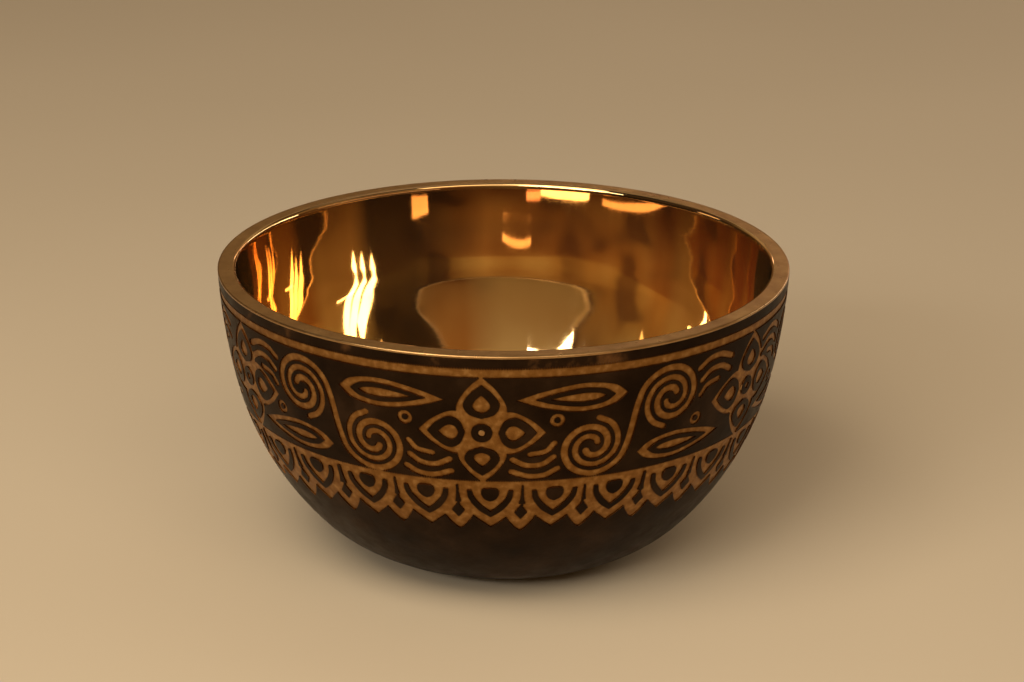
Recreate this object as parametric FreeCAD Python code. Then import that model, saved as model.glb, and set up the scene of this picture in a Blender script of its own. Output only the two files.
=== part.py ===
import FreeCAD
import Part

import math
import os

from FreeCAD import Vector

# A cast bronze singing bowl that stands on a small flat foot, mouth upward.
# Its outside carries a thin black coat, and an ornament is chiselled through that coat down
# to the bronze, so the coat is left as separate fields, each of them a solid of its own.
# Millimetres, +Z up, origin on the table at the middle of the foot, front of the bowl at -Y.

# ---- driving dimensions -------------------------------------------------------------------

RIM_RADIUS = 60.0           # outer edge of the mouth
RIM_WIDTH = 3.8             # flat bare rim, and the wall of the casting there
FLOOR = 5.0                 # thickness of the casting over the foot
COAT = 0.25                 # black coat, let into the wall so that it lies flush

# The outer wall is three arcs that run into each other, from the foot up to the rim:
# radius of each arc, and slope of the wall where it ends, in degrees from level.
WALL_ARCS = ((31.6, 48.0), (64.0, 77.0), (128.0, 87.6))

# The inside is two arcs: the lower one's radius, the slope where it ends, and the slope at
# the rim. The upper arc's radius follows from the height that is left.
INSIDE_CORNER = 29.0
INSIDE_CORNER_SLOPE = 67.0
INSIDE_RIM_SLOPE = 83.5

RIM_OUTER_ROUNDING = 0.35
RIM_INNER_ROUNDING = 0.6
BARE_FOOT_RADIUS = 21.5     # the coat ends here, just clear of the table

# Bands of the ornament, as distances down the wall from the outer edge of the rim.
RIM_BAND = (0.7, 2.4)
FRIEZE = (4.6, 27.4)
PETAL_BAND = (29.2, 41.5)

FLOWERS = 6                 # flowers round the frieze, with a scroll and a leaf between them
FIRST_FLOWER = -4.0         # degrees round from the front
FLOWER_DEPTH = 16.4         # distance of the flower centres down the wall
FLOWER_EYE = (0.7, 1.9)     # inner and outer radius of the dark ring in the middle
LINE = 1.1                  # width of an engraved line

PETALS = 27                 # petals round the lower band
FIRST_PETAL = -3.0          # degrees round from the front

EVEN = 1e-6                 # stretches of wall shorter than this are left out

# How far a cutter reaches in and out of the wall: enough for the curve of the wall across
# the widest shape.
CUT_INSIDE = 4.0
CUT_OUTSIDE = 1.5
STROKE_TAPER = 0.25         # share of an engraved stroke that narrows to its point, at each end


# ---- the wall as a curve ------------------------------------------------------------------

def radius_gain(radius, start, end):
    return radius * (math.sin(math.radians(end)) - math.sin(math.radians(start)))


def place_arcs(profile, bottom, top_radius):
    """Centre, radius and slopes of each arc from level at the bottom to a radius at the top."""
    starts = [0.0] + [slope for _, slope in profile[:-1]]
    gains = [radius_gain(arc[0], start, arc[1]) for arc, start in zip(profile, starts)]
    arcs = []
    centre_r = top_radius - sum(gains)
    centre_z = bottom + profile[0][0]
    before = profile[0][0]
    for (radius, end), start in zip(profile, starts):
        centre_r += (before - radius) * math.sin(math.radians(start))
        centre_z -= (before - radius) * math.cos(math.radians(start))
        arcs.append((centre_r, centre_z, radius, start, end))
        before = radius
    return arcs


ARCS = place_arcs(WALL_ARCS, 0.0, RIM_RADIUS)
FOOT_RADIUS = ARCS[0][0]


def on_arc(arc, slope, inward):
    """Point of one arc where the wall has this slope, moved inward along the normal."""
    centre_r, centre_z, radius, _, _ = arc
    angle = math.radians(slope)
    reach = radius - inward
    return Vector(centre_r + reach * math.sin(angle), 0, centre_z - reach * math.cos(angle))


def slope_at(down):
    """Arc and slope at a distance down the wall from the rim."""
    left = down
    for arc in reversed(ARCS):
        length = arc[2] * math.radians(arc[4] - arc[3])
        if left <= length:
            return arc, arc[4] - math.degrees(left / arc[2])
        left -= length
    return ARCS[0], 0.0


def wall_point(down, inward=0.0):
    arc, slope = slope_at(down)
    return on_arc(arc, slope, inward)


def down_at_radius(radius):
    """Distance down the wall to the place where the foot's arc has this radius."""
    centre_r, _, arc_radius, start, end = ARCS[0]
    slope = math.degrees(math.asin((radius - centre_r) / arc_radius))
    above = sum(arc[2] * math.radians(arc[4] - arc[3]) for arc in ARCS[1:])
    return above + arc_radius * math.radians(end - slope)


def wall_edges(top, bottom, inward):
    """The wall between two distances down, as arcs."""
    return sloped_edges(ARCS, slope_at(top)[1], slope_at(bottom)[1], inward)


def sloped_edges(arcs, steepest, flattest, inward=0.0):
    """The part of a row of arcs between two slopes."""
    edges = []
    for arc in arcs:
        low = max(arc[3], flattest)
        high = min(arc[4], steepest)
        if high - low > EVEN:
            middle = on_arc(arc, (low + high) / 2, inward)
            ends = on_arc(arc, low, inward), on_arc(arc, high, inward)
            edges.append(Part.Arc(ends[0], middle, ends[1]).toShape())
    return edges


def turned(edges):
    """Solid of revolution about Z of a closed outline in the XZ plane."""
    face = Part.Face(Part.Wire(Part.__sortEdges__(edges)))
    return face.revolve(Vector(0, 0, 0), Vector(0, 0, 1), 360)


WALL_LENGTH = down_at_radius(FOOT_RADIUS)
FOOT_EDGE = down_at_radius(BARE_FOOT_RADIUS)
HEIGHT = wall_point(0.0).z


# ---- the casting --------------------------------------------------------------------------

def inside_arcs():
    """The two arcs of the inside, from the edge of its level floor up to the rim."""
    corner = math.cos(math.radians(INSIDE_CORNER_SLOPE))
    left = HEIGHT - FLOOR - INSIDE_CORNER * (1 - corner)
    upper = left / (corner - math.cos(math.radians(INSIDE_RIM_SLOPE)))
    profile = ((INSIDE_CORNER, INSIDE_CORNER_SLOPE), (upper, INSIDE_RIM_SLOPE))
    return place_arcs(profile, FLOOR, RIM_RADIUS - RIM_WIDTH)


def bronze_bowl():
    rim_seat = RIM_BAND[0]
    inside = inside_arcs()
    inner_top = Vector(RIM_RADIUS - RIM_WIDTH, 0, HEIGHT)
    outer_top = wall_point(0.0)
    floor_edge = Vector(inside[0][0], 0, FLOOR)
    edges = [Part.makeLine(Vector(0, 0, 0), Vector(FOOT_RADIUS, 0, 0))]
    edges += wall_edges(FOOT_EDGE, WALL_LENGTH, 0.0)
    edges.append(Part.makeLine(wall_point(FOOT_EDGE), wall_point(FOOT_EDGE, COAT)))
    edges += wall_edges(rim_seat, FOOT_EDGE, COAT)
    edges.append(Part.makeLine(wall_point(rim_seat, COAT), wall_point(rim_seat)))
    edges += wall_edges(0.0, rim_seat, 0.0)
    edges.append(Part.makeLine(outer_top, inner_top))
    edges += sloped_edges(inside, INSIDE_RIM_SLOPE, 0.0)
    edges.append(Part.makeLine(floor_edge, Vector(0, 0, FLOOR)))
    edges.append(Part.makeLine(Vector(0, 0, FLOOR), Vector(0, 0, 0)))
    bowl = turned(edges)
    bowl = rounded_at(bowl, outer_top.x, RIM_OUTER_ROUNDING)
    return rounded_at(bowl, inner_top.x, RIM_INNER_ROUNDING)


def rounded_at(bowl, radius, rounding):
    """Round the circular edge of the flat rim that has this radius."""
    for edge in bowl.Edges:
        circle = edge.Curve
        if not isinstance(circle, Part.Circle):
            continue
        on_top = abs(circle.Center.z - HEIGHT) < EVEN
        if on_top and abs(circle.Radius - radius) < EVEN:
            return bowl.makeFillet(rounding, [edge])
    raise ValueError("no rim edge at radius %.3f" % radius)


def coat_band(top, bottom):
    """A closed ring of coat between two distances down the wall."""
    edges = wall_edges(top, bottom, 0.0) + wall_edges(top, bottom, COAT)
    edges.append(Part.makeLine(wall_point(top), wall_point(top, COAT)))
    edges.append(Part.makeLine(wall_point(bottom), wall_point(bottom, COAT)))
    return turned(edges)


# ---- outlines and cutters -----------------------------------------------------------------
# An outline is a list of sides. Each side is the points that one smooth curve passes through,
# and the next side starts at the corner where it ends. Points are (across, down) in mm from
# the middle of the shape, across to the right as seen from outside, down the wall.

def smooth(points):
    if len(points) == 2:
        return Part.makeLine(*points)
    curve = Part.BSplineCurve()
    curve.interpolate(points)
    return curve.toShape()


def cutter(sides, down, turn):
    """Prism of an outline, square to the wall at a distance down and an angle round."""
    _, slope = slope_at(down)
    edges = [smooth([Vector(x, -y, 0) for x, y in side]) for side in sides]
    face = Part.Face(Part.Wire(edges))
    face.translate(Vector(0, 0, -CUT_INSIDE))
    prism = face.extrude(Vector(0, 0, CUT_INSIDE + CUT_OUTSIDE))
    return seat(prism, down, slope, turn)


def seat(shape, down, slope, turn):
    """Stand a shape drawn in the XY plane on the wall, its +Y up the wall."""
    place = wall_point(down)
    shape.rotate(Vector(0, 0, 0), Vector(1, 0, 0), 180.0 - slope)
    shape.translate(Vector(0, -place.x, place.z))
    shape.rotate(Vector(0, 0, 0), Vector(0, 0, 1), turn)
    return shape


def disc_cutter(radius, down, turn):
    _, slope = slope_at(down)
    disc = Part.makeCylinder(radius, CUT_INSIDE + CUT_OUTSIDE, Vector(0, 0, -CUT_INSIDE))
    return seat(disc, down, slope, turn)


def stroke(points, width=LINE):
    """Outline of an engraved line along a smooth path: full in the middle, pointed at the ends."""
    path = Part.BSplineCurve()
    path.interpolate([Vector(x, y, 0) for x, y in points])
    steps = 3 * len(points)         # three steps between each two points of the path
    first, last = path.FirstParameter, path.LastParameter
    one_side = []
    other_side = []
    for step in range(1, steps):
        share = step / steps
        where = first + (last - first) * share
        middle = path.value(where)
        along = path.tangent(where)[0]
        half = width / 2 * min(1.0, share / STROKE_TAPER, (1 - share) / STROKE_TAPER) ** 0.5
        one_side.append((middle.x - along.y * half, middle.y + along.x * half))
        other_side.append((middle.x + along.y * half, middle.y - along.x * half))
    ends = points[0], points[-1]
    return [[ends[0]] + one_side + [ends[1]], [ends[1]] + other_side[::-1] + [ends[0]]]


def repeated(shape, count):
    """Copies of a shape at even steps all the way round."""
    copies = []
    for index in range(count):
        copy = shape.copy()
        copy.rotate(Vector(0, 0, 0), Vector(0, 0, 1), 360.0 * index / count)
        copies.append(copy)
    return copies


def fields(band, shapes):
    """The separate pieces of coat that these cutters hold."""
    pieces = []
    for shape in shapes:
        pieces += band.common(shape).Solids
    return pieces


# ---- the frieze ---------------------------------------------------------------------------
# The ornament is a drawing of this script's own, made of pointed ovals and coils. Between two
# flowers stand two coils, each with a second coil inside it, a leaf, a berry and tendrils.

PETAL_TIPS = (12.4, 10.4, 12.4, 11.2)       # right, down, left and up
FLOWER_RADIUS = wall_point(FLOWER_DEPTH).x
SCROLL_DEPTH = 16.0         # the middle of a scroll, down the wall
COIL_MIDDLE = (-8.3, -4.0)  # from the middle of the gap between two flowers
COIL_PITCH = 4.4            # how far a coil winds inward in one turn
COIL_STEPS = 12
BERRY = (-15.4, 2.5)
BERRY_RADIUS = 1.2
LEAF_DROP = 7.1             # the leaf's middle line below the middle of the gap
TENDRILS = [
    [(-14.9, -8.6), (-17.4, -10.0), (-20.6, -10.2), (-24.0, -9.0)],
    [(-15.8, -5.8), (-18.0, -7.4), (-21.0, -7.6), (-23.8, -6.2)],
    [(-15.8, -2.6), (-17.4, -4.4), (-20.4, -5.0)],
]
GAPS = ((30.0, (-1, 1)), (90.0, (1, 1)))    # degrees from a flower, and which way it is drawn


def pointed(start, tip, half):
    """A pointed oval along the x axis, from start to tip, this wide to each side."""
    reach = tip - start
    side = [(start, 0.0), (start + 0.14 * reach, 0.72 * half), (start + 0.42 * reach, half),
            (start + 0.75 * reach, 0.6 * half), (tip, 0.0)]
    return [side, [(x, -y) for x, y in reversed(side)]]


def quarter_turned(sides, quarters):
    for _ in range(quarters):
        sides = [[(-y, x) for x, y in side] for side in sides]
    return sides


def moved(sides, across, down):
    return [[(x + across, y + down) for x, y in side] for side in sides]


def coil(radius, start, sweep):
    """Points of a coil that winds inward from its start, over the top, through sweep degrees."""
    points = []
    for step in range(COIL_STEPS + 1):
        share = step / COIL_STEPS
        angle = math.radians(start - sweep * share)
        reach = radius - COIL_PITCH * sweep / 360 * share
        points.append((COIL_MIDDLE[0] + reach * math.cos(angle),
                       COIL_MIDDLE[1] + reach * math.sin(angle)))
    return points


def gap_cutter(sides, gap, way):
    """Cutter for a shape drawn round the middle of a gap, turned over as the way says."""
    sides = [[(x * way[0], y * way[1]) for x, y in side] for side in sides]
    across = [x for side in sides for x, _ in side]
    middle = (min(across) + max(across)) / 2
    turn = FIRST_FLOWER + gap + math.degrees(middle / FLOWER_RADIUS)
    return cutter(moved(sides, -middle, 0.0), SCROLL_DEPTH, turn)


def both_coils():
    """Each gap with the ways its two coils are drawn: one turned half round from the other."""
    for gap, (across, down) in GAPS:
        yield gap, (across, down)
        yield gap, (-across, -down)


def scroll_cutters():
    outlines = [stroke([(-0.45, -0.9)] + coil(7.6, 0.0, 500.0)), stroke(coil(6.4, 80.0, 410.0))]
    outlines += [stroke(points) for points in TENDRILS]
    outlines.append(moved(quarter_turned(pointed(1.6, 23.4, 3.1), 2), 0.0, LEAF_DROP))
    cuts = []
    for gap, way in both_coils():
        cuts += [gap_cutter(outline, gap, way) for outline in outlines]
        turn = FIRST_FLOWER + gap + math.degrees(BERRY[0] * way[0] / FLOWER_RADIUS)
        cuts.append(disc_cutter(BERRY_RADIUS, SCROLL_DEPTH + BERRY[1] * way[1], turn))
    return cuts


def leaf_cutters():
    """Cutters that hold the dark field of each leaf, with its vein of metal left out."""
    field = moved(quarter_turned(pointed(4.2, 19.6, 1.9), 2), 0.0, LEAF_DROP)
    vein = moved(quarter_turned(pointed(6.4, 16.6, 0.9), 2), 0.0, LEAF_DROP)
    pairs = []
    for gap, way in both_coils():
        across = [x * way[0] for side in field for x, _ in side]
        middle = (min(across) + max(across)) / 2
        turn = FIRST_FLOWER + gap + math.degrees(middle / FLOWER_RADIUS)
        outer, inner = [moved([[(x * way[0], y * way[1]) for x, y in side] for side in sides],
                              -middle, 0.0) for sides in (field, vein)]
        pairs.append(cutter(outer, SCROLL_DEPTH, turn).cut(cutter(inner, SCROLL_DEPTH, turn)))
    return pairs


def petal_shape(start, end, half):
    """The four petals of a flower, all from start to this far short of their tips."""
    return [cutter(quarter_turned(pointed(start, tip - end, half), side), FLOWER_DEPTH, FIRST_FLOWER)
            for side, tip in enumerate(PETAL_TIPS)]


def frieze():
    """The ground of the frieze, and the dark fields that stand free inside its ornament."""
    band = coat_band(*FRIEZE)
    eye = disc_cutter(FLOWER_EYE[1] + LINE / 2, FLOWER_DEPTH, FIRST_FLOWER)
    all_cuts = []
    for cut in petal_shape(0.5, 0.0, 4.8) + [eye]:
        all_cuts += repeated(cut, FLOWERS)
    for cut in scroll_cutters():
        all_cuts += repeated(cut, FLOWERS // 2)
    ground = max(band.cut(all_cuts).Solids, key=lambda solid: solid.Volume)

    ring = disc_cutter(FLOWER_EYE[1], FLOWER_DEPTH, FIRST_FLOWER)
    ring = ring.cut(disc_cutter(FLOWER_EYE[0], FLOWER_DEPTH, FIRST_FLOWER))
    eye_ring = fields(band, [ring])[0]
    drops = petal_shape(4.4, 4.0, 1.7)
    petals = [petal.cut(drop) for petal, drop in zip(petal_shape(3.2, 1.9, 3.4), drops)]
    petal_fields = fields(band, petals)
    leaf_fields = fields(band, leaf_cutters())
    return {
        "coat_frieze_ground": [ground],
        "coat_flower_eyes": repeated(eye_ring, FLOWERS),
        "coat_flower_petals": [copy for field in petal_fields for copy in repeated(field, FLOWERS)],
        "coat_leaf_fields": [copy for field in leaf_fields for copy in repeated(field, FLOWERS // 2)],
    }


# ---- the petal band -----------------------------------------------------------------------
# Petals hang point down. Inside each outline stands a dark field shaped like a U, and inside
# that a dark heart. A small diamond shows between neighbours.

PETAL_MIDDLE = 34.0         # distance down the wall where the petal cutters are square to it
SHOULDER = 0.94             # share of the half width that is left at the shoulder of a petal,
FLANK = 0.6                 # and half way from there to the tip


def petal_outline(half_width, shoulder, tip, top):
    """A petal that is straight at the top, round at the shoulders and pointed below."""
    right_side = [
        (half_width, top),
        (half_width * SHOULDER, shoulder),
        (half_width * FLANK, (shoulder + tip) / 2),
        (0.0, tip),
    ]
    left_side = [(-x, y) for x, y in reversed(right_side)]
    return [[(-half_width, top), (half_width, top)], right_side, left_side]


PETAL_OUTER = petal_outline(4.3, -0.6, 5.3, -6.0)
PETAL_FIELD = petal_outline(3.5, -0.6, 3.9, -4.8)
PETAL_INNER = petal_outline(2.5, -1.0, 1.6, -5.6)
PETAL_HEART = petal_outline(1.5, -1.9, -0.2, -4.6)
DIAMOND = [
    [(0.0, -0.6), (0.75, 1.3)],
    [(0.75, 1.3), (0.0, 3.0)],
    [(0.0, 3.0), (-0.75, 1.3)],
    [(-0.75, 1.3), (0.0, -0.6)],
]
SECOND_TIP = [
    [(0.0, -2.6), (2.2, 2.0), (1.6, 4.6), (0.0, 6.4)],
    [(0.0, 6.4), (-1.6, 4.6), (-2.2, 2.0), (0.0, -2.6)],
]


def petal_cutter(sides, turn):
    return cutter(sides, PETAL_MIDDLE, turn)


def petal_band():
    """The coat of the petal band and below, cut by the petals, and the fields inside them."""
    half_step = 180.0 / PETALS
    between = FIRST_PETAL + half_step
    below = coat_band(PETAL_BAND[0], FOOT_EDGE)
    band = coat_band(*PETAL_BAND)
    cuts = repeated(petal_cutter(PETAL_OUTER, FIRST_PETAL), PETALS)
    cuts += repeated(petal_cutter(SECOND_TIP, between), PETALS)
    lower = max(below.cut(cuts).Solids, key=lambda solid: solid.Volume)

    u_shape = petal_cutter(PETAL_FIELD, FIRST_PETAL).cut(petal_cutter(PETAL_INNER, FIRST_PETAL))
    u_field = fields(band, [u_shape])[0]
    heart = fields(band, [petal_cutter(PETAL_HEART, FIRST_PETAL)])[0]
    diamond = fields(band, [petal_cutter(DIAMOND, between)])[0]
    return {
        "coat_lower_bowl": [lower],
        "coat_petal_fields": repeated(u_field, PETALS),
        "coat_petal_hearts": repeated(heart, PETALS),
        "coat_petal_diamonds": repeated(diamond, PETALS),
    }


# ---- everything ---------------------------------------------------------------------------

def build():
    nodes = {
        "bronze_bowl": [bronze_bowl()],
        "coat_rim_band": [coat_band(*RIM_BAND)],
    }
    nodes.update(frieze())
    nodes.update(petal_band())
    return nodes


def save(nodes):
    os.makedirs("parts", exist_ok=True)
    for name, solids in nodes.items():
        shape = solids[0] if len(solids) == 1 else Part.makeCompound(solids)
        shape.exportStep("parts/%s.step" % name)


save(build())
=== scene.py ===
import math

import bpy
import numpy as np
from mathutils import Matrix, Vector
from mathutils.geometry import delaunay_2d_cdt


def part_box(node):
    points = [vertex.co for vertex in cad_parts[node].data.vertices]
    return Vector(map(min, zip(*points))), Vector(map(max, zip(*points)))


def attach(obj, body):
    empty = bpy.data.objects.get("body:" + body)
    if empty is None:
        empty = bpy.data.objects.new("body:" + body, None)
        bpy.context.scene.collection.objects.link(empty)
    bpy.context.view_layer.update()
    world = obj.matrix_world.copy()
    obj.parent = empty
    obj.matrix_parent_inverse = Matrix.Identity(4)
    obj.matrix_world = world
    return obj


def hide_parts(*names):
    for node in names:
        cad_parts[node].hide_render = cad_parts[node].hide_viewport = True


# A bronze singing bowl with a black coat, chiselled through to the metal. The ornament is
# drawn flat, in degrees round the bowl and millimetres down its wall, cut out of the coat and
# wrapped round the wall. The bowl is worked in millimetres until a mesh is made. The floor, the
# lights, the camera and the sizes in materials are in metres.

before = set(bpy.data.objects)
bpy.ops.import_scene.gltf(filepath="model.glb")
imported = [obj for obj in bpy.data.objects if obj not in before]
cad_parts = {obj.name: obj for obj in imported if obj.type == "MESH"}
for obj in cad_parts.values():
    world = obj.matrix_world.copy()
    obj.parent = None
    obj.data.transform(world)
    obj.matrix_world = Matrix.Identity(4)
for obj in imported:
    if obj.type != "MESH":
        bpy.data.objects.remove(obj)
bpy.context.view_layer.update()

MM = 0.001

# ---- sizes --------------------------------------------------------------------------------

INSIDE_THE_PART = 0.004         # keeps this bowl's outer face within the part's
RIM_RADIUS = round(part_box("bronze_bowl")[1][0] / MM, 1) - INSIDE_THE_PART
RIM_WIDTH = 3.8                 # the flat bare rim
RIM_OUTER_ROUNDING = 0.35
RIM_INNER_ROUNDING = 0.6
WALL_ARCS = ((31.6, 48.0), (64.0, 77.0), (128.0, 87.6))    # from the foot: radius, end slope
BARE_FOOT_RADIUS = 21.5         # the coat stops here

# Inside: mm down from the rim along the wall, and the slope there in degrees from level.
# The slope eases in shallow rings, left by the scraper, and rounds off into a level floor.
INSIDE_SLOPES = ((0, 83.5), (7, 82.2), (11, 80.0), (15, 78.7), (18.5, 79.2), (21.5, 76.0),
                 (23, 73.6), (28, 71.7), (33, 70.8), (36, 69.9), (38, 69.3), (41, 67.5),
                 (75, 0.0))
UNEVEN = 0.03                   # height of the waves of the inside, from hand finishing
WAVES = 14                      # how many of them are added up

ENGRAVED = 0.22                 # depth of the metal below the face of the coat
COAT_SEAT = 0.27                # the coat's underside, let a little into the metal

RIM_BAND_TOP = 0.55             # bands of the ornament, in mm down from the rim
UPPER_BORDER = (2.3, 4.6)
LOWER_BORDER = (27.4, 29.0)
COMB = 0.55                     # how deep the ticks cut into a border's upper edge
LOWER_TICK = 0.1                # and into its lower edge

FLOWERS = 6
FLOWER_STEP = 360.0 / FLOWERS   # degrees from flower to flower
FLOWER_DRIFT = 1.5              # degrees by which every other flower stands off its step
EYE = (-4.1, 16.5)              # middle of the flower at the front
EYE_RADIUS = 0.75
COIL_PITCH = 4.4                # how far a coil winds inward in one turn
COIL_MIDDLE = (-8.3, -4.0)      # from the middle of the scroll
BERRY = (-15.4, 2.5)            # from the middle of the scroll
LEAF_DROP = 7.1                 # from the line of the eyes to the vein of a leaf

PETALS = 27
HALF_STEP = 180.0 / PETALS      # half the turn from petal to petal
FRONT_PETAL = -2.9              # degrees round from the front to the petal nearest it

STEP = 0.27                     # spacing of the points along a drawn line
TOOTH = 0.08                    # how far chisel marks reach out of the side of a line
TICK = 0.5                      # degrees from tick to tick of the chisel along the borders
COAT_ROWS = 2.5                 # mm between the rows of points that carry the coat's curve
SEAM = 180.0                    # degrees round from the front: the coat is closed at the back

SEGMENTS = 360                  # faces round the casting
SATIN, CHISELLED, RUBBED, POLISHED = range(4)    # kinds of surface on the casting


# ---- the wall as a curve ------------------------------------------------------------------

def place_arcs():
    """Centre, radius and slopes of each arc of the wall, worked out from the rim's radius."""
    starts = [0.0] + [slope for _, slope in WALL_ARCS[:-1]]
    spans = [(arc[0], math.radians(start), math.radians(arc[1]))
             for arc, start in zip(WALL_ARCS, starts)]
    centre_r = RIM_RADIUS - sum(r * (math.sin(end) - math.sin(start)) for r, start, end in spans)
    centre_z = before = spans[0][0]
    arcs = []
    for radius, start, end in spans:
        centre_r += (before - radius) * math.sin(start)
        centre_z -= (before - radius) * math.cos(start)
        arcs.append((centre_r, centre_z, radius, start, end))
        before = radius
    return arcs


ARCS = place_arcs()
FOOT_RADIUS = ARCS[0][0]
ARC_LENGTHS = [radius * (end - start) for _, _, radius, start, end in ARCS]
WALL_LENGTH = sum(ARC_LENGTHS)
HEIGHT = ARCS[-1][1] - ARCS[-1][2] * math.cos(ARCS[-1][4])


def wall(down, inward=0.0):
    """Radius, height and outward normal (radial, up) of the wall at distances down from the rim."""
    down = np.asarray(down, float)
    radius = np.zeros_like(down)
    height = np.zeros_like(down)
    slope = np.zeros_like(down)
    bottom = WALL_LENGTH
    for (centre_r, centre_z, arc_radius, start, _), length in zip(ARCS, ARC_LENGTHS):
        here = (down <= bottom + 1e-9) & (down >= bottom - length - 1e-9)
        angle = start + (bottom - down) / arc_radius
        radius = np.where(here, centre_r + (arc_radius - inward) * np.sin(angle), radius)
        height = np.where(here, centre_z - (arc_radius - inward) * np.cos(angle), height)
        slope = np.where(here, angle, slope)
        bottom -= length
    return radius, height, np.sin(slope), -np.cos(slope)


def down_at_foot(radius):
    """Distance down the wall to the place on the lowest arc that has this radius."""
    centre_r, _, arc_radius, _, _ = ARCS[0]
    return WALL_LENGTH - arc_radius * math.asin((radius - centre_r) / arc_radius)


FOOT_EDGE = down_at_foot(BARE_FOOT_RADIUS)


# ---- drawing ------------------------------------------------------------------------------
# A point is (degrees round from the front, mm down the wall). On the frieze one degree is
# about one millimetre, so shapes are drawn as if both were millimetres. A motif is a list of
# outlines, each with a mark that says whether the coat is taken away inside it or left.

def smooth(points):
    """Points at even steps along a smooth curve through the given ones."""
    path = np.array(points, float)
    if len(path) == 2:
        count = max(2, math.ceil(np.linalg.norm(path[1] - path[0]) / STEP) + 1)
        return path[0] + (path[1] - path[0]) * np.linspace(0, 1, count)[:, None]
    knots = np.vstack([2 * path[0] - path[1], path, 2 * path[-1] - path[-2]])
    share = np.linspace(0, 1, 24, endpoint=False)[:, None]
    runs = []
    for a, b, c, d in zip(knots, knots[1:], knots[2:], knots[3:]):
        runs.append(0.5 * (2 * b + (c - a) * share + (2 * a - 5 * b + 4 * c - d) * share ** 2
                           + (3 * b - a - 3 * c + d) * share ** 3))
    dense = np.vstack(runs + [path[-1:]])
    reach = np.concatenate([[0], np.cumsum(np.linalg.norm(np.diff(dense, axis=0), axis=1))])
    even = np.linspace(0, reach[-1], max(3, round(reach[-1] / STEP) + 1))
    return np.column_stack([np.interp(even, reach, dense[:, axis]) for axis in (0, 1)])


def line(points, width):
    """Outline of a chiselled line with round ends, toothed by the chisel along its sides."""
    path = smooth(points)
    along = np.gradient(path, axis=0)
    along /= np.linalg.norm(along, axis=1)[:, None]
    across = np.column_stack([-along[:, 1], along[:, 0]])
    tooth = TOOTH * (-1.0) ** np.arange(len(path))
    left = path + across * (width / 2 + tooth)[:, None]
    right = path - across * (width / 2 - tooth)[:, None]
    turns = np.radians(np.linspace(60, -60, 5))[:, None]
    half = width / 2
    far_cap = path[-1] + half * (along[-1] * np.cos(turns) + across[-1] * np.sin(turns))
    near_cap = path[0] - half * (along[0] * np.cos(turns) + across[0] * np.sin(turns))
    return np.vstack([left, far_cap, right[::-1], near_cap])


def fill(*sides):
    """A closed shape: each side is smooth, and the sides meet in corners."""
    return np.vstack([smooth(side)[:-1] for side in sides])


def disc(centre, radius):
    """Outline of a round spot."""
    turns = np.arange(0, 2 * math.pi, min(0.3, STEP / radius))
    return np.column_stack([centre[0] + radius * np.cos(turns),
                            centre[1] + radius * np.sin(turns)])


def bronze(outline):
    """Coat taken away inside this outline."""
    return True, outline


def dark(outline):
    """Coat left standing inside this outline, on top of what was drawn before."""
    return False, outline


# The flower, the scroll and the leaf are a drawing of this script's own, made of pointed ovals
# and coils. Each is drawn round its own middle, with the line of the flowers' eyes as zero.

def turned(points, quarters):
    """Points turned round the middle by quarters of a circle."""
    for _ in range(quarters):
        points = [(-v, u) for u, v in points]
    return points


def pointed(start, tip, half, quarters):
    """A pointed oval from start to tip, this wide to each side, turned by quarters of a circle."""
    reach = tip - start
    side = [(start, 0.0), (start + 0.14 * reach, 0.72 * half), (start + 0.42 * reach, half),
            (start + 0.75 * reach, 0.6 * half), (tip, 0.0)]
    other = [(u, -v) for u, v in reversed(side)]
    return fill(turned(side, quarters), turned(other, quarters))


def flower():
    """Four pointed petals round an eye, each with a dark field and a drop of metal in it."""
    petals = list(enumerate((12.4, 11.8, 12.4, 12.3)))    # right, down, left and up
    shapes = [bronze(pointed(0.5, tip, 4.8, side)) for side, tip in petals]
    shapes += [dark(pointed(3.2, tip - 1.9, 3.4, side)) for side, tip in petals]
    shapes += [bronze(pointed(4.4, tip - 4.0, 1.7, side)) for side, tip in petals]
    shapes += [bronze(disc((0, 0), 2.8)), dark(disc((0, 0), 2.0))]
    return shapes + [bronze(disc((0, 0), EYE_RADIUS))]


def coil(centre, radius, start, sweep):
    """Points of a coil that winds inward from its start, over the top, through sweep degrees."""
    share = np.linspace(0, 1, 16)
    angles = np.radians(start - sweep * share)
    radii = radius - COIL_PITCH * sweep / 360 * share
    return list(zip(centre[0] + radii * np.cos(angles), centre[1] + radii * np.sin(angles)))


def opposite(motif):
    """A motif turned half round its own middle."""
    return [(shows_metal, -outline) for shows_metal, outline in motif]


def flipped(motif):
    """A motif as seen in a mirror."""
    return [(shows_metal, outline * (-1, 1)) for shows_metal, outline in motif]


def half_scroll():
    """What goes with one coil: a second coil inside it, a leaf, a berry and three tendrils."""
    inner = coil(COIL_MIDDLE, 6.4, 80, 410)
    return [
        bronze(line(inner, 1.4)),
        bronze(pointed(1.6, 23.4, 3.1, 2) + (0.0, LEAF_DROP)),
        dark(pointed(4.2, 19.6, 1.9, 2) + (0.0, LEAF_DROP)),
        bronze(pointed(6.0, 17.0, 0.95, 2) + (0.0, LEAF_DROP)),
        bronze(disc(BERRY, 1.5)),
        dark(disc(BERRY, 0.6)),
        bronze(line([(-14.9, -8.6), (-17.4, -10.0), (-20.6, -10.2), (-24.0, -9.0)], 1.5)),
        bronze(line([(-15.8, -5.8), (-18.0, -7.4), (-21.0, -7.6), (-23.8, -6.2)], 1.45)),
        bronze(line([(-15.8, -2.6), (-17.4, -4.4), (-20.4, -5.0)], 1.35)),
    ]


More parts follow.
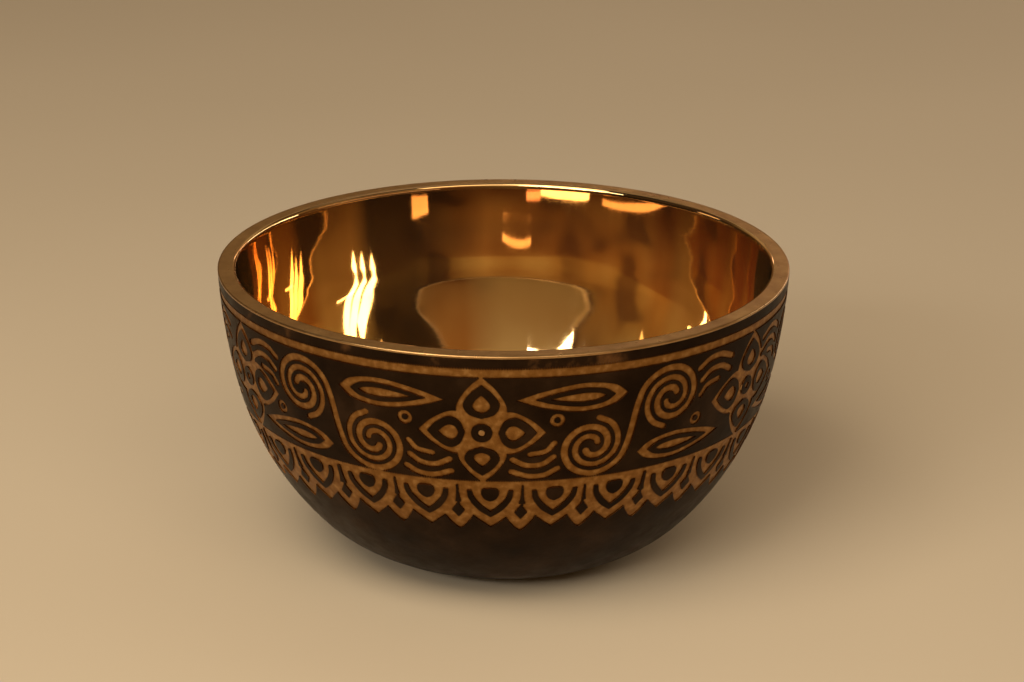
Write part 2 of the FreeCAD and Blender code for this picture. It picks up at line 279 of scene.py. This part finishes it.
def scrollwork():
    """The ornament between two flowers: a long line coiled at both ends, with its leaves."""
    outer = coil(COIL_MIDDLE, 7.6, 0, 500)
    stem = outer[::-1] + [(-u, -v) for u, v in outer]
    return [bronze(line(stem, 1.6))] + half_scroll() + opposite(half_scroll())


# Under the frieze, petals hang from the lower border with their points down, in two rows. Each
# is drawn round its own middle, with its depths in mm down from the rim.

def mirrored(half):
    """Both halves of a symmetrical side, from one half that is read towards the middle."""
    return [half, [(-u, v) for u, v in reversed(half)]]


SECOND_PETAL = [
    bronze(fill(*mirrored([(-3.5, 33.4), (-3.3, 36.6), (-2.5, 38.5), (-1.0, 40.6), (0.0, 41.4)]),
                [(3.5, 33.4), (-3.5, 33.4)])),
    dark(fill(*mirrored([(-1.35, 35.9), (0.0, 37.8)]), *mirrored([(1.35, 35.9), (0.0, 33.9)]))),
]
PETAL = [
    bronze(fill(*mirrored([(-6.5, 28.6), (-6.45, 31.0), (-6.1, 33.3), (-5.0, 35.8),
                           (-3.0, 38.0), (0.0, 40.7)]),
                [(6.5, 28.6), (-6.5, 28.6)])),
    dark(fill([(-3.8, 30.2), (-4.7, 30.2)],
              *mirrored([(-4.7, 30.2), (-4.5, 32.2), (-3.5, 34.2), (-2.1, 35.9), (0.0, 37.5)]),
              [(4.7, 30.2), (3.8, 30.2)],
              *mirrored([(3.8, 30.2), (3.4, 31.9), (2.5, 33.4), (1.2, 34.9), (0.0, 36.0)]))),
    dark(fill(*mirrored([(0.0, 29.6), (-1.5, 29.9), (-1.8, 31.1), (-1.2, 32.4), (0.0, 33.1)]))),
    dark(line([(-HALF_STEP, 29.8), (-HALF_STEP, 34.4)], 0.35)),
]


# ---- laying out the ornament --------------------------------------------------------------

def placed(motif, across, down):
    """A copy of a motif, moved round the bowl and down the wall."""
    return [(shows_metal, outline + np.array([across, down])) for shows_metal, outline in motif]


def border(top, bottom):
    """A band of metal all round and past the seam, combed by the chisel along its edges."""
    end = SEAM + 20.0
    across = np.arange(-end, end + TICK / 4, TICK / 2)
    tick = (np.arange(len(across)) % 2) * 1.0
    upper = top + COMB * tick
    lower = bottom - LOWER_TICK * tick
    return bronze(np.vstack([np.column_stack([across, upper]),
                             np.column_stack([across, lower])[::-1]]))


def frieze_shapes():
    """Flowers with a scroll between each two, every other scroll coiled the other way."""
    chance = np.random.default_rng(11)
    shapes = []
    for index in range(-FLOWERS // 2, FLOWERS // 2):
        drift, drop = chance.uniform(-0.3, 0.3), chance.uniform(-0.12, 0.12)
        scroll = scrollwork() if index % 2 else flipped(scrollwork())
        shapes += placed(scroll, EYE[0] + FLOWER_STEP * (index + 0.5) + drift, EYE[1] + drop)
    for index in range(-FLOWERS // 2, FLOWERS // 2):
        off_step = FLOWER_DRIFT if index % 2 else 0.0
        shapes += placed(flower(), EYE[0] + FLOWER_STEP * index + off_step, EYE[1])
    return shapes


def petal_shapes():
    """The second row of petals, and the first row over it, both a little unevenly spaced."""
    chance = np.random.default_rng(5)
    shapes = []
    for index in range(PETALS):
        turn = FRONT_PETAL + (index - PETALS // 2) * 2 * HALF_STEP
        shapes += placed(SECOND_PETAL, turn + HALF_STEP, chance.uniform(-0.4, 0.3))
    for index in range(PETALS):
        turn = FRONT_PETAL + (index - PETALS // 2) * 2 * HALF_STEP
        shapes += placed(PETAL, turn + chance.uniform(-0.25, 0.25), chance.uniform(-0.2, 0.2))
    return shapes


# ---- cutting the coat ---------------------------------------------------------------------

def inside(points, outline):
    """Which points lie inside an outline, by the number of turns it makes round each."""
    turns = np.zeros(len(points), int)
    starts = outline
    ends = np.roll(outline, -1, axis=0)
    for (au, av), (bu, bv) in zip(starts, ends):
        if av == bv:
            continue
        side = (bu - au) * (points[:, 1] - av) - (points[:, 0] - au) * (bv - av)
        rising = (av <= points[:, 1]) & (bv > points[:, 1]) & (side > 0)
        falling = (bv <= points[:, 1]) & (av > points[:, 1]) & (side < 0)
        turns += rising.astype(int) - falling.astype(int)
    return turns != 0


def all_round(shapes):
    """Shapes with copies a full turn away, wherever they come near the seam at the back."""
    wrapped = []
    for shows_metal, outline in shapes:
        for turn in (-360.0, 0.0, 360.0):
            copy = outline + np.array([turn, 0.0])
            if copy[:, 0].max() > -SEAM - 1 and copy[:, 0].min() < SEAM + 1:
                wrapped.append((shows_metal, copy))
    return wrapped


def cut_flat(top, bottom, shapes):
    """Triangles of the coat that is left between two distances down, drawn flat."""
    points = []
    edges = []

    def add(path, closed):
        first = len(points)
        points.extend(map(tuple, path))
        count = len(path)
        edges.extend((first + i, first + i + 1) for i in range(count - 1))
        if closed:
            edges.append((first + count - 1, first))

    rows = np.linspace(top, bottom, max(2, math.ceil((bottom - top) / COAT_ROWS) + 1))
    columns = np.linspace(-SEAM, SEAM, 181)
    for row in (top, bottom):
        add([(column, row) for column in columns], False)
    for column in (-SEAM, SEAM):
        add([(column, row) for row in rows], False)
    points.extend((column, row) for column in columns[1:-1] for row in rows[1:-1])
    near = []
    for shows_metal, outline in shapes:
        if outline[:, 1].max() > top and outline[:, 1].min() < bottom:
            near.append((shows_metal, outline))
            add(outline, True)
    result = delaunay_2d_cdt([Vector(p) for p in points], edges, [], 0, 1e-4, False)
    flat = np.array([tuple(p) for p in result[0]])
    triangles = np.array([tuple(t) for t in result[2]])
    middles = flat[triangles].mean(axis=1)
    metal = np.zeros(len(triangles), bool)
    for shows_metal, outline in near:
        low, high = outline.min(axis=0), outline.max(axis=0)
        maybe = np.flatnonzero(((middles > low) & (middles < high)).all(axis=1))
        metal[maybe[inside(middles[maybe], outline)]] = shows_metal
    on_band = (middles[:, 1] > top) & (middles[:, 1] < bottom) & (abs(middles[:, 0]) < SEAM)
    return flat, triangles[on_band & ~metal]


def on_wall(flat, inward):
    """Places and outward normals, in metres, of flat points wrapped round the wall."""
    radius, height, normal_r, normal_z = wall(flat[:, 1], inward)
    turn = np.radians(flat[:, 0])
    places = np.column_stack([radius * np.sin(turn), -radius * np.cos(turn), height]) * MM
    normals = np.column_stack([normal_r * np.sin(turn), -normal_r * np.cos(turn), normal_z])
    return places, normals


def coat_piece(name, top, bottom, shapes):
    """A closed solid of coat between two distances down, with the shapes cut through it."""
    flat, triangles = cut_flat(top, bottom, shapes)
    used, triangles = np.unique(triangles, return_inverse=True)
    triangles = triangles.reshape(-1, 3)
    flat = flat[used]

    # Join the two sides of the seam, and points that fall together.
    flat[:, 0] = np.where(flat[:, 0] > SEAM - 0.0001, -SEAM, flat[:, 0])
    _, first, same = np.unique(np.round(flat, 3), axis=0, return_index=True, return_inverse=True)
    flat = flat[first]
    triangles = same.reshape(-1)[triangles]
    whole = (triangles[:, 0] != triangles[:, 1]) & (triangles[:, 1] != triangles[:, 2])
    triangles = triangles[whole & (triangles[:, 0] != triangles[:, 2])]

    # Turn every triangle the same way round, so that all face outwards.
    a, b, c = (flat[triangles[:, k]] for k in range(3))
    b, c = (np.where(abs(p - a) > SEAM, p - 360 * np.sign(p - a), p) for p in (b, c))
    facing_in = (b - a)[:, 0] * (c - a)[:, 1] > (b - a)[:, 1] * (c - a)[:, 0]
    triangles = np.where(facing_in[:, None], triangles[:, ::-1], triangles)

    # A side that only one triangle has is an edge of the coat, and gets a wall down to the metal.
    count = len(flat)
    sides = np.vstack([triangles[:, [0, 1]], triangles[:, [1, 2]], triangles[:, [2, 0]]])
    key = sides[:, 0].astype(np.int64) * count + sides[:, 1]
    back = sides[:, 1].astype(np.int64) * count + sides[:, 0]
    open_sides = sides[~np.isin(key, back)]
    walls = np.column_stack([open_sides[:, 1], open_sides[:, 0],
                             open_sides[:, 0] + count, open_sides[:, 1] + count])
    outer, normals = on_wall(flat, 0.0)
    inner, _ = on_wall(flat, COAT_SEAT)
    verts = np.vstack([outer, inner])
    faces = triangles.tolist() + (triangles[:, ::-1] + count).tolist() + walls.tolist()

    mesh = bpy.data.meshes.new(name)
    mesh.from_pydata(verts.tolist(), [], faces)
    mesh.update()
    mesh.shade_smooth()
    face_normals = np.empty(len(mesh.polygons) * 3, np.float32)
    mesh.polygons.foreach_get("normal", face_normals)
    wall_normals = face_normals.reshape(-1, 3)[2 * len(triangles):]
    corner_normals = np.vstack([
        normals[triangles.reshape(-1)],
        -normals[triangles[:, ::-1].reshape(-1)],
        np.repeat(wall_normals, 4, axis=0),
    ])
    mesh.normals_split_custom_set(corner_normals.tolist())
    cut_sides = np.zeros(len(faces), np.int32)
    cut_sides[2 * len(triangles):] = 1
    mesh.polygons.foreach_set("material_index", cut_sides)
    return piece(name, mesh)


def piece(name, mesh):
    """An object in the scene that shows a mesh."""
    made = bpy.data.objects.new(name, mesh)
    bpy.context.collection.objects.link(made)
    return made


# ---- the casting --------------------------------------------------------------------------

def inside_wall():
    """Distance down, radius and height of the inside, from under the rim to the level floor."""
    downs, slopes = np.array(INSIDE_SLOPES).T
    every = 0.1                 # mm between the points that the slopes are added up over
    fine = np.arange(0.0, downs[-1] + every / 2, every)
    reach = 8                   # points to each side that a slope is averaged with
    blur = np.ones(2 * reach + 1) / (2 * reach + 1)
    slope = np.pad(np.interp(fine, downs, slopes), reach, mode="edge")
    slope = np.radians(np.convolve(slope, blur, mode="valid"))
    inward = np.concatenate([[0], np.cumsum(np.cos(slope[1:]) + np.cos(slope[:-1])) * every / 2])
    below = np.concatenate([[0], np.cumsum(np.sin(slope[1:]) + np.sin(slope[:-1])) * every / 2])
    radius = RIM_RADIUS - RIM_WIDTH - inward
    height = HEIGHT - below
    kept = slice(reach, None, 6)    # a ring every 0.6 mm
    return fine[kept], radius[kept], height[kept]


def unevenness(down):
    """Hand-scraped waves of the inside wall, in mm, round the bowl at a distance down."""
    chance = np.random.default_rng(3)
    turn = np.radians(np.arange(SEGMENTS) * 360.0 / SEGMENTS)
    wave = np.zeros(SEGMENTS)
    for _ in range(WAVES):
        times = chance.integers(2, 9)
        length = chance.uniform(18.0, 45.0)
        start = chance.uniform(0, 2 * math.pi, 2)
        wave += np.cos(times * turn + start[0]) * math.cos(2 * math.pi * down / length + start[1])
    fade = min(1.0, down / 6.0)
    return UNEVEN * fade * wave / math.sqrt(WAVES)


def boss(turn, down, first):
    """A small round boss punched up at one place: a low dome, closed underneath."""
    around = np.radians(np.arange(16) * 22.5)
    verts = []
    dome = ((1.0, -0.06), (0.97, 0.06), (0.75, 0.14), (0.4, 0.19))    # share of radius, rise
    for share, rise in dome:
        across = turn + EYE_RADIUS * share * np.cos(around)
        along = down + EYE_RADIUS * share * np.sin(around)
        verts.append(np.column_stack([across, along, np.full(16, ENGRAVED - rise)]))
    verts = np.vstack(verts + [[(turn, down, ENGRAVED + 0.06), (turn, down, ENGRAVED - 0.2)]])
    faces = []
    for level in range(3):
        for step in range(16):
            a = first + level * 16 + step
            b = first + level * 16 + (step + 1) % 16
            faces.append((a, a + 16, b + 16, b))
    for step in range(16):
        after = (step + 1) % 16
        faces.append((first + step, first + after, first + 64))
        faces.append((first + 48 + after, first + 48 + step, first + 65))
    places = []
    for across, along, depth in verts:
        radius, height, _, _ = wall(along, depth)
        swing = math.radians(across)
        places.append((radius * math.sin(swing), -radius * math.cos(swing), height))
    return np.array(places, float), faces


def bronze_body():
    """The casting as one turned skin: foot, engraved wall, flat rim and polished inside."""
    rings = []

    def ring(radius, height, kind, uneven=0.0):
        rings.append((np.full(SEGMENTS, radius) - uneven, height, kind))

    for radius in (6.0, 12.0, FOOT_RADIUS):
        ring(radius, 0.0, SATIN)
    for down in np.linspace(WALL_LENGTH, FOOT_EDGE, 6)[1:]:      # bare metal round the foot
        radius, height, _, _ = wall(down)
        ring(radius, height, SATIN)
    for down in np.linspace(FOOT_EDGE - 0.1, RIM_BAND_TOP + 0.1, 70):    # under the coat
        radius, height, _, _ = wall(down, ENGRAVED)
        ring(radius, height, CHISELLED)
    for down in (RIM_BAND_TOP, RIM_OUTER_ROUNDING):
        radius, height, _, _ = wall(down)
        ring(radius, height, RUBBED)
    for angle in np.radians([22.5, 45, 67.5, 90]):
        ring(RIM_RADIUS - RIM_OUTER_ROUNDING * (1 - math.cos(angle)),
             HEIGHT - RIM_OUTER_ROUNDING * (1 - math.sin(angle)), RUBBED)
    mouth = RIM_RADIUS - RIM_WIDTH
    for radius in np.linspace(RIM_RADIUS - 0.9, mouth + RIM_INNER_ROUNDING, 5):
        ring(radius, HEIGHT, RUBBED)
    for angle in np.radians([67.5, 45, 22.5]):
        ring(mouth + RIM_INNER_ROUNDING * (1 - math.cos(angle)),
             HEIGHT - RIM_INNER_ROUNDING * (1 - math.sin(angle)), POLISHED)
    for down, radius, height in zip(*inside_wall()):
        ring(radius, height, POLISHED, unevenness(down))
    floor = rings[-1][1]
    for radius in (15.0, 10.0, 5.0):
        ring(radius, floor, POLISHED)

    turn = np.radians(np.arange(SEGMENTS) * 360.0 / SEGMENTS)
    verts = np.vstack([
        np.column_stack([radius * np.sin(turn), -radius * np.cos(turn), np.full(SEGMENTS, height)])
        for radius, height, _ in rings])
    faces = []
    kinds = []
    for index in range(len(rings) - 1):
        for step in range(SEGMENTS):
            a = index * SEGMENTS + step
            b = index * SEGMENTS + (step + 1) % SEGMENTS
            faces.append((a, b, b + SEGMENTS, a + SEGMENTS))
            kinds.append(rings[index + 1][2])
    last = len(verts) - SEGMENTS
    below, above = len(verts), len(verts) + 1
    verts = np.vstack([verts, (0, 0, 0), (0, 0, floor)])
    for step in range(SEGMENTS):
        after = (step + 1) % SEGMENTS
        faces += [(step, below, after), (last + step, last + after, above)]
        kinds += [SATIN, POLISHED]
    for index in range(FLOWERS):    # on the even step, so not quite in every other flower's eye
        cap_verts, cap_faces = boss(FLOWER_STEP * index + EYE[0], EYE[1], len(verts))
        verts = np.vstack([verts, cap_verts])
        faces += cap_faces
        kinds += [RUBBED] * len(cap_faces)
    mesh = bpy.data.meshes.new("bronze_casting")
    mesh.from_pydata((verts * MM).tolist(), [], faces)
    mesh.polygons.foreach_set("material_index", kinds)
    mesh.shade_smooth()
    mesh.update()
    return piece("bronze_casting", mesh)


# ---- materials ----------------------------------------------------------------------------

def new_material(name):
    """A material with its node tree and its shader."""
    material = bpy.data.materials.new(name)
    material.use_nodes = True
    tree = material.node_tree
    shader = tree.nodes["Principled BSDF"]
    return material, tree, shader


def node(tree, kind, **settings):
    made = tree.nodes.new(kind)
    for key, value in settings.items():
        setattr(made, key, value)
    return made


def noise(tree, scale, detail=3.0, roughness=0.55, stretch=None):
    """Noise in the object's own space, in metres, so its grain keeps its real size."""
    place = tree.nodes.new("ShaderNodeTexCoord")
    texture = tree.nodes.new("ShaderNodeTexNoise")
    texture.inputs["Scale"].default_value = scale
    texture.inputs["Detail"].default_value = detail
    texture.inputs["Roughness"].default_value = roughness
    if stretch:
        mapping = tree.nodes.new("ShaderNodeMapping")
        mapping.inputs["Scale"].default_value = stretch
        tree.links.new(place.outputs["Object"], mapping.inputs["Vector"])
        tree.links.new(mapping.outputs["Vector"], texture.inputs["Vector"])
    else:
        tree.links.new(place.outputs["Object"], texture.inputs["Vector"])
    return texture.outputs["Fac"]


def ramp(tree, source, stops):
    """A colour that follows the source through the given places and colours."""
    made = tree.nodes.new("ShaderNodeValToRGB")
    points = made.color_ramp.elements
    while len(points) < len(stops):
        points.new(0.5)
    for point, (position, colour) in zip(points, stops):
        point.position = position
        point.color = (*colour, 1.0)
    tree.links.new(source, made.inputs["Fac"])
    return made.outputs["Color"]


def spread(tree, source, low, high):
    """A value that runs from low to high as the source runs over the middle of its range."""
    made = tree.nodes.new("ShaderNodeMapRange")
    made.inputs["From Min"].default_value = 0.3
    made.inputs["From Max"].default_value = 0.7
    made.inputs["To Min"].default_value = low
    made.inputs["To Max"].default_value = high
    tree.links.new(source, made.inputs["Value"])
    return made.outputs["Result"]


def product(tree, first, second):
    """One colour multiplied by another."""
    made = tree.nodes.new("ShaderNodeVectorMath")
    made.operation = "MULTIPLY"
    tree.links.new(first, made.inputs[0])
    tree.links.new(second, made.inputs[1])
    return made.outputs["Vector"]


def bump(tree, height, distance, strength=1.0, under=None):
    made = tree.nodes.new("ShaderNodeBump")
    made.inputs["Distance"].default_value = distance
    made.inputs["Strength"].default_value = strength
    tree.links.new(height, made.inputs["Height"])
    if under is not None:
        tree.links.new(under, made.inputs["Normal"])
    return made.outputs["Normal"]


def engraved_bronze():
    """Bare metal left by the chisel: satin strokes, with painted shade darkening its colour in the
    corners under the coat.
    """
    material, tree, shader = new_material("engraved_bronze")
    shader.inputs["Metallic"].default_value = 1.0
    mottled = ramp(tree, noise(tree, 700.0, 3.0, 0.5), [
        (0.30, (0.21, 0.092, 0.022)), (0.5, (0.27, 0.128, 0.034)), (0.72, (0.40, 0.215, 0.070))])
    # Painted shade: occlusion near the walls of the coat darkens the metal's colour there, where
    # shade falls in the corners.
    corner_occlusion = node(tree, "ShaderNodeAmbientOcclusion", samples=6)
    corner_occlusion.inputs["Distance"].default_value = 0.0009
    painted_corner_shade = ramp(tree, corner_occlusion.outputs["AO"], [
        (0.62, (0.30, 0.22, 0.17)), (0.93, (1.0, 1.0, 1.0))])
    shaded_metal_colour = node(tree, "ShaderNodeMix", data_type="RGBA", blend_type="MULTIPLY")
    shaded_metal_colour.inputs["Factor"].default_value = 1.0
    tree.links.new(mottled, shaded_metal_colour.inputs["A"])
    tree.links.new(painted_corner_shade, shaded_metal_colour.inputs["B"])
    tree.links.new(shaded_metal_colour.outputs["Result"], shader.inputs["Base Color"])
    tree.links.new(spread(tree, noise(tree, 900.0), 0.36, 0.56), shader.inputs["Roughness"])
    chisel = bump(tree, noise(tree, 2400.0, 3.0, 0.6), 0.00009, 0.7)
    tree.links.new(chisel, shader.inputs["Normal"])
    return material


def rim_bronze(name="rim_bronze"):
    """The flat rim, bare and rubbed: fine scratches and a soft sheen."""
    material, tree, shader = new_material(name)
    shader.inputs["Metallic"].default_value = 1.0
    colour = ramp(tree, noise(tree, 160.0, 4.0), [
        (0.3, (0.34, 0.19, 0.075)), (0.55, (0.45, 0.27, 0.115)), (0.75, (0.56, 0.36, 0.17))])
    tree.links.new(colour, shader.inputs["Base Color"])
    tree.links.new(spread(tree, noise(tree, 500.0), 0.27, 0.36), shader.inputs["Roughness"])
    wobble = bump(tree, noise(tree, 45.0, 1.0, 0.4), 0.0006, 0.25)
    scratches = bump(tree, noise(tree, 2600.0, 2.0, 0.6), 0.000008, 0.5, wobble)
    tree.links.new(scratches, shader.inputs["Normal"])
    return material


def polished_bronze():
    """The inside: mirror polished over a cast and scraped wall, with painted shade darkening its
    colour just below the rim to dim the reflections there.
    """
    material, tree, shader = new_material("polished_bronze")
    shader.inputs["Metallic"].default_value = 0.985
    colour = ramp(tree, noise(tree, 60.0), [(0.3, (0.76, 0.52, 0.25)), (0.7, (0.84, 0.61, 0.32))])
    place = tree.nodes.new("ShaderNodeTexCoord")
    parts = tree.nodes.new("ShaderNodeSeparateXYZ")
    tree.links.new(place.outputs["Object"], parts.inputs["Vector"])
    # Painted shade: the colour darkens from 50 to 58 mm up, which dims the reflections just below
    # the rim.
    climb = tree.nodes.new("ShaderNodeMapRange")
    climb.inputs["From Min"].default_value = 0.050     # metres above the foot
    climb.inputs["From Max"].default_value = 0.058
    tree.links.new(parts.outputs["Z"], climb.inputs["Value"])
    darker_below_rim = ramp(tree, climb.outputs["Result"], [
        (0.0, (1.0, 1.0, 1.0)), (1.0, (0.74, 0.66, 0.60))])
    tree.links.new(product(tree, colour, darker_below_rim), shader.inputs["Base Color"])
    lines = noise(tree, 1.0, 2.0, 0.5, (60.0, 60.0, 2200.0))
    tree.links.new(bump(tree, lines, 0.0000012), shader.inputs["Normal"])
    tree.links.new(spread(tree, noise(tree, 300.0, 5.0), 0.02, 0.05), shader.inputs["Roughness"])
    return material


def black_coat(name="black_coat", rubbed=(0.038, 0.019, 0.009)):
    """Thin satin coat, brown-black, with rubbed lighter patches and a slightly lumpy skin."""
    material, tree, shader = new_material(name)
    colour = ramp(tree, noise(tree, 90.0, 6.0, 0.62), [
        (0.30, (0.006, 0.0027, 0.0012)), (0.55, (0.016, 0.0076, 0.0032)), (0.80, rubbed)])
    tree.links.new(colour, shader.inputs["Base Color"])
    shader.inputs["Specular IOR Level"].default_value = 0.045
    shader.inputs["Specular Tint"].default_value = (1.0, 0.72, 0.48, 1.0)
    roughness = spread(tree, noise(tree, 240.0, 5.0, 0.6), 0.28, 0.46)
    tree.links.new(roughness, shader.inputs["Roughness"])
    skin = bump(tree, noise(tree, 700.0, 4.0, 0.6), 0.00006, 0.6)
    tree.links.new(skin, shader.inputs["Normal"])
    return material


def floor_surface():
    """A plain pale matt floor, in place of the cloth."""
    material, tree, shader = new_material("pale_floor")
    colour = ramp(tree, noise(tree, 3.0, 2.0), [
        (0.3, (0.62, 0.525, 0.395)), (0.7, (0.66, 0.56, 0.425))])
    tree.links.new(colour, shader.inputs["Base Color"])
    shader.inputs["Roughness"].default_value = 0.75
    return material


# ---- the bowl -----------------------------------------------------------------------------

def build_bowl():
    """The casting and the three skins of its coat, in place of the part's ten nodes."""
    body = bronze_body()
    cut_metal = engraved_bronze()
    for material in (rim_bronze("foot_bronze"), cut_metal, rim_bronze(), polished_bronze()):
        body.data.materials.append(material)
    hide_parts("bronze_bowl")
    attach(body, "root")

    upper = border(*UPPER_BORDER)
    lower = border(*LOWER_BORDER)
    middle = sum(UPPER_BORDER) / 2          # the skins part inside the two borders
    below = sum(LOWER_BORDER) / 2 + 0.3
    coat = black_coat()
    handled_coat = black_coat("handled_coat", (0.20, 0.085, 0.026))    # worn by hands at the rim
    bands = (
        ("coat_rim_band_skin", handled_coat, RIM_BAND_TOP, middle, [upper], ("coat_rim_band",)),
        ("coat_frieze_skin", coat, middle, below, all_round(frieze_shapes()) + [upper, lower],
         ("coat_frieze_ground", "coat_flower_eyes", "coat_flower_petals", "coat_leaf_fields")),
        ("coat_lower_skin", coat, below, FOOT_EDGE, all_round(petal_shapes()) + [lower],
         ("coat_lower_bowl", "coat_petal_fields", "coat_petal_hearts", "coat_petal_diamonds")),
    )
    for name, face, top, bottom, shapes, nodes in bands:
        skin = coat_piece(name, top, bottom, shapes)
        skin.data.materials.append(face)
        skin.data.materials.append(cut_metal)
        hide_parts(*nodes)
        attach(skin, "root")


# ---- floor, light and camera --------------------------------------------------------------

def build_floor():
    mesh = bpy.data.meshes.new("floor")
    half = 3.0                  # metres from the middle to each side
    corners = [(-half, -half, 0), (half, -half, 0), (half, half, 0), (-half, half, 0)]
    mesh.from_pydata(corners, [], [(0, 1, 2, 3)])
    floor = piece("floor", mesh)
    mesh.materials.append(floor_surface())


def direction(azimuth, elevation):
    """Unit vector from the bowl: azimuth from the front (-Y) towards +X, elevation from level."""
    turn, rise = math.radians(azimuth), math.radians(elevation)
    level = math.cos(rise)
    return Vector((level * math.sin(turn), -level * math.cos(turn), math.sin(rise)))


def panel(name, azimuth, elevation, wide, tall, lean, glow, colour, distance=1.6):
    """Soft box aimed at the bowl: wide and tall in degrees as the bowl sees it, turned by lean."""
    sight = direction(azimuth, elevation)
    size = [2 * distance * math.tan(math.radians(angle / 2)) for angle in (wide, tall)]
    data = bpy.data.lights.new(name, "AREA")
    data.shape = "RECTANGLE"
    data.size, data.size_y = size
    data.energy = glow * math.pi * size[0] * size[1]
    data.color = colour
    lamp = bpy.data.objects.new(name, data)
    aim = (-sight).to_track_quat("-Z", "Y").to_matrix().to_4x4()
    middle = Vector((0, 0, 0.05)) + sight * distance
    leaned = Matrix.Rotation(math.radians(lean), 4, "Z")
    lamp.matrix_world = Matrix.Translation(middle) @ aim @ leaned
    bpy.context.collection.objects.link(lamp)


def build_lights():
    """Windows and lamps, which the inside of the bowl mirrors, and soft light for the outside."""
    white = (1.0, 0.93, 0.80)
    cream = (1.0, 0.84, 0.62)
    gold = (1.0, 0.66, 0.42)
    rose = (1.0, 0.55, 0.42)
    panel("window_1", -44.7, 25.9, 24, 3.8, 20, 13, white)
    panel("window_2", -33.1, 25.3, 27, 3.0, 20, 13, white)
    panel("window_3", -23.2, 24.8, 30, 2.9, 20, 13, white)
    panel("lamp_left", -105, 15.5, 14, 3.5, 0, 3.6, gold)
    panel("strip_right", 60, 13, 62, 1.4, 5, 3.4, gold)
    panel("window_back", 126, 13.6, 42, 3.0, 0, 10, white)
    panel("window_back_edge", 154, 14.2, 12, 2.0, 0, 5, rose)
    panel("lamp_back", 168, 19.4, 24, 1.0, 0, 3.6, gold)
    panel("front_strip", -23, 22.3, 18, 0.7, 0, 9, white)
    panel("near_soft", -34, 50, 34, 30, 0, 5.0, cream, 0.6)
    panel("front_fill", 10, 46, 50, 28, 0, 2.3, cream)
    panel("overhead_back", 170, 66, 50, 30, 0, 0.5, cream)


def facing(tree, sight, towards, start, end, away_tint, near_tint):
    """A tint that changes as the line of sight turns towards one side of the room."""
    along = tree.nodes.new("ShaderNodeVectorMath")
    along.operation = "DOT_PRODUCT"
    along.inputs[1].default_value = towards
    tree.links.new(sight, along.inputs[0])
    return ramp(tree, along.outputs["Value"], [(start, away_tint), (end, near_tint)])


def build_surroundings():
    """A dim warm room: brown low down, tan at the height of the walls, dark overhead."""
    world = bpy.data.worlds.new("room")
    world.use_nodes = True
    tree = world.node_tree
    background = tree.nodes["Background"]
    sight = tree.nodes.new("ShaderNodeTexCoord").outputs["Generated"]
    parts = tree.nodes.new("ShaderNodeSeparateXYZ")
    tree.links.new(sight, parts.inputs["Vector"])
    rise = ramp(tree, parts.outputs["Z"], [
        (0.0, (0.10, 0.055, 0.02)), (0.20, (0.13, 0.068, 0.025)), (0.27, (0.24, 0.15, 0.065)),
        (0.33, (0.30, 0.17, 0.065)), (0.365, (0.34, 0.20, 0.08)), (0.375, (0.48, 0.35, 0.17)),
        (0.43, (0.44, 0.34, 0.17)), (0.52, (0.28, 0.22, 0.13)), (0.60, (0.14, 0.10, 0.06)),
        (0.85, (0.07, 0.05, 0.04))])
    wall_ahead = ramp(tree, parts.outputs["Z"], [
        (0.0, (0.10, 0.055, 0.02)), (0.16, (0.14, 0.08, 0.03)), (0.21, (0.23, 0.135, 0.048)),
        (0.30, (0.28, 0.165, 0.062)), (0.375, (0.38, 0.255, 0.12)), (0.43, (0.40, 0.30, 0.15)),
        (0.60, (0.14, 0.10, 0.06)), (0.85, (0.07, 0.05, 0.04))])
    plain = (1.0, 1.0, 1.0)
    left = facing(tree, sight, direction(-75, 0), 0.0, 0.85, plain, (0.13, 0.11, 0.09))
    front = facing(tree, sight, direction(0, 12), 0.70, 0.85, plain, (0.80, 0.62, 0.42))
    stretch = tree.nodes.new("ShaderNodeMapping")
    stretch.inputs["Scale"].default_value = (1.1, 1.1, 7.0)
    tree.links.new(sight, stretch.inputs["Vector"])
    patches = tree.nodes.new("ShaderNodeTexNoise")
    patches.inputs["Scale"].default_value = 1.5
    patches.inputs["Detail"].default_value = 0.5
    tree.links.new(stretch.outputs["Vector"], patches.inputs["Vector"])
    tint = ramp(tree, patches.outputs["Fac"], [
        (0.36, (0.42, 0.30, 0.22)), (0.44, (0.9, 0.78, 0.62)), (0.64, (1.15, 1.15, 1.15))])
    light = product(tree, product(tree, product(tree, rise, left), front), tint)
    ahead = facing(tree, sight, direction(-18, 15), 0.80, 0.95, (0.0, 0.0, 0.0), plain)
    both = node(tree, "ShaderNodeMix", data_type="RGBA")
    tree.links.new(ahead, both.inputs["Factor"])
    tree.links.new(light, both.inputs["A"])
    tree.links.new(wall_ahead, both.inputs["B"])
    tree.links.new(both.outputs["Result"], background.inputs["Color"])
    bpy.context.scene.world = world


def build_camera():
    """The photo's view, fitted to the ellipses of the rim and to the bowl's outline."""
    distance, height = 0.52, 0.2313
    pan, tilt, roll = (math.radians(angle) for angle in (0.20, 19.82, 0.22))
    data = bpy.data.cameras.new("camera")
    data.sensor_width = 36.0
    data.lens = 91.16
    camera = bpy.data.objects.new("camera", data)
    camera.matrix_world = (Matrix.Translation((0, -distance, height))
                           @ Matrix.Rotation(-pan, 4, "Z")
                           @ Matrix.Rotation(math.radians(90) - tilt, 4, "X")
                           @ Matrix.Rotation(roll, 4, "Z"))
    bpy.context.collection.objects.link(camera)
    bpy.context.scene.camera = camera


build_bowl()
build_floor()
build_lights()
build_surroundings()
build_camera()
bpy.context.scene.view_settings.view_transform = "Standard"
